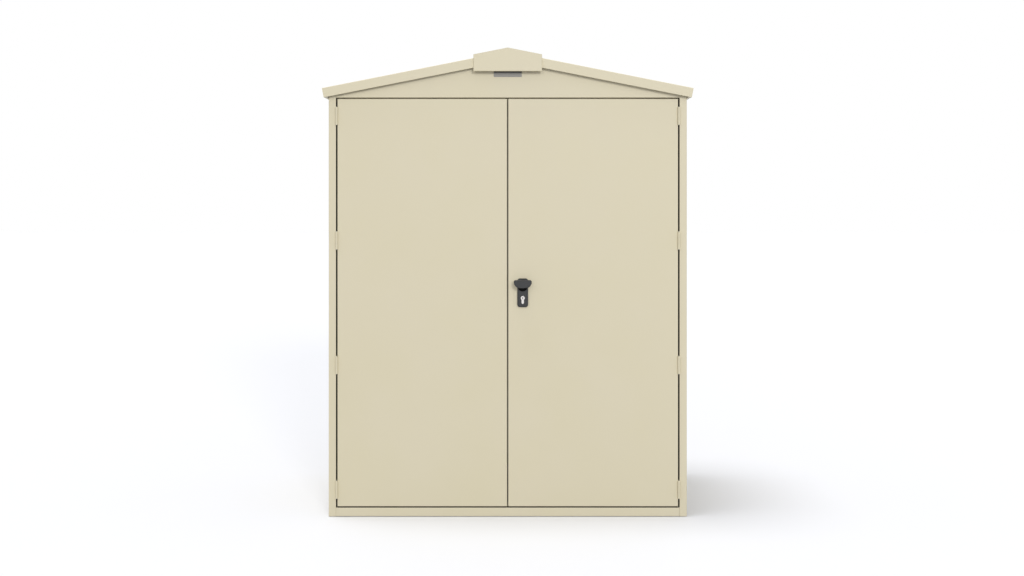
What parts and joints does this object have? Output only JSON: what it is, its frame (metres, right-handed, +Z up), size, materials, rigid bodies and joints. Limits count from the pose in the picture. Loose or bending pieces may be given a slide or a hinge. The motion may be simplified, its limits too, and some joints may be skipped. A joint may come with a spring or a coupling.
{
  "type": "metal tool shed",
  "caption": "Folded-steel garden tool shed with a low apex roof, raised ridge capping and two full-height doors.",
  "frame": {"origin": "centre of the footprint at ground level, on the underside of the middle floor bearer", "axes": "+Z up; -Y out of the doorway; +X to the right seen from in front of the doors"},
  "size_m": [1.571, 1.0222, 1.9868],
  "materials": {
    "ivory_powder_coat": "satin powder coat",
    "galvanised_steel": "hot-dip galvanised",
    "pin_steel": "zinc plated",
    "black_handle": "fine textured powder coat",
    "key_barrel": "satin nickel",
    "plate": "anodised, blank"
  },
  "bodies": {
    "shell": {"floor_pan": "galvanised_steel", "floor_edges": "galvanised_steel", "floor_bearers": "galvanised_steel", "front_sill": "ivory_powder_coat", "front_post_left": "ivory_powder_coat", "front_post_right": "ivory_powder_coat", "rear_post_left": "ivory_powder_coat", "rear_post_right": "ivory_powder_coat", "side_panel_left_front": "ivory_powder_coat", "side_panel_left_back": "ivory_powder_coat", "side_panel_right_front": "ivory_powder_coat", "side_panel_right_back": "ivory_powder_coat", "back_panel_left": "ivory_powder_coat", "back_panel_middle": "ivory_powder_coat", "back_panel_right": "ivory_powder_coat", "gable_front": "ivory_powder_coat", "gable_back": "ivory_powder_coat", "ridge_beam": "galvanised_steel", "roof_left_front": "ivory_powder_coat", "roof_left_back": "ivory_powder_coat", "roof_right_front": "ivory_powder_coat", "roof_right_back": "ivory_powder_coat", "ridge_cap": "ivory_powder_coat", "ridge_cap_end_front": "ivory_powder_coat", "ridge_cap_end_back": "ivory_powder_coat", "name_plate": "plate", "hinge_frame_leaves_left": "ivory_powder_coat", "hinge_frame_leaves_right": "ivory_powder_coat", "hinge_pins_left": "pin_steel", "hinge_pins_right": "pin_steel"},
    "door_left": {"door_panel_left": "ivory_powder_coat", "door_stiffener_left": "ivory_powder_coat", "hinge_door_leaves_left": "ivory_powder_coat", "shoot_bolts": "galvanised_steel"},
    "door_right": {"door_panel_right": "ivory_powder_coat", "door_stiffener_right": "ivory_powder_coat", "hinge_door_leaves_right": "ivory_powder_coat", "lock_case": "galvanised_steel", "lock_rods": "galvanised_steel", "rod_guides": "galvanised_steel", "handle_plate": "black_handle", "lock_cylinder": "key_barrel"},
    "handle": {"handle_grip": "black_handle"}
  },
  "joints": [
    {"name": "door_left_hinge", "type": "hinge", "parent": "shell", "child": "door_left", "pos_m": [-0.726, -0.47496, 0.907], "axis": [0, 0, -1], "range_deg": [0, 180]},
    {"name": "door_right_hinge", "type": "hinge", "parent": "shell", "child": "door_right", "pos_m": [0.726, -0.47496, 0.907], "axis": [0, 0, 1], "range_deg": [0, 180]},
    {"name": "handle_turn", "type": "hinge", "parent": "door_right", "child": "handle", "pos_m": [0.0635, -0.49, 0.986], "axis": [0, 1, 0], "range_deg": [0, 90]}
  ]
}
